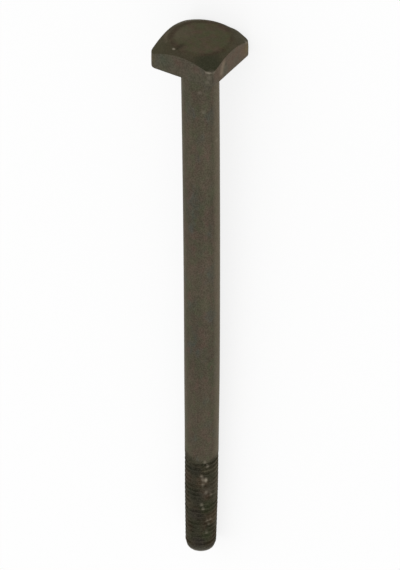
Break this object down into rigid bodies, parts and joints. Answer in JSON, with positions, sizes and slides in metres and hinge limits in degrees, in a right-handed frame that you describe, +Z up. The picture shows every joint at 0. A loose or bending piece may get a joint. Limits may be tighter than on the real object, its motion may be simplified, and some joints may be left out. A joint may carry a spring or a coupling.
{
  "type": "square-head exhaust stud bolt",
  "caption": "Long steel bolt with a chamfered square head, a plain round shank and a threaded, chamfered end, for clamping exhaust parts together.",
  "frame": {"origin": "middle of the part's box, on the flat surface it lies on", "axes": "+X towards the head, along the bolt as seen from above; +Z up, with one flat of the head on top and the bolt's axis 1.7 degrees down towards the thread"},
  "size_m": [0.1722, 0.0188, 0.0191],
  "materials": {
    "aged_steel": "old bare steel, dark grey-brown and oiled, finely mottled, with rust in the thread and bright wear on edges"
  },
  "bodies": {
    "root": {"bolt": "aged_steel"}
  },
  "joints": []
}
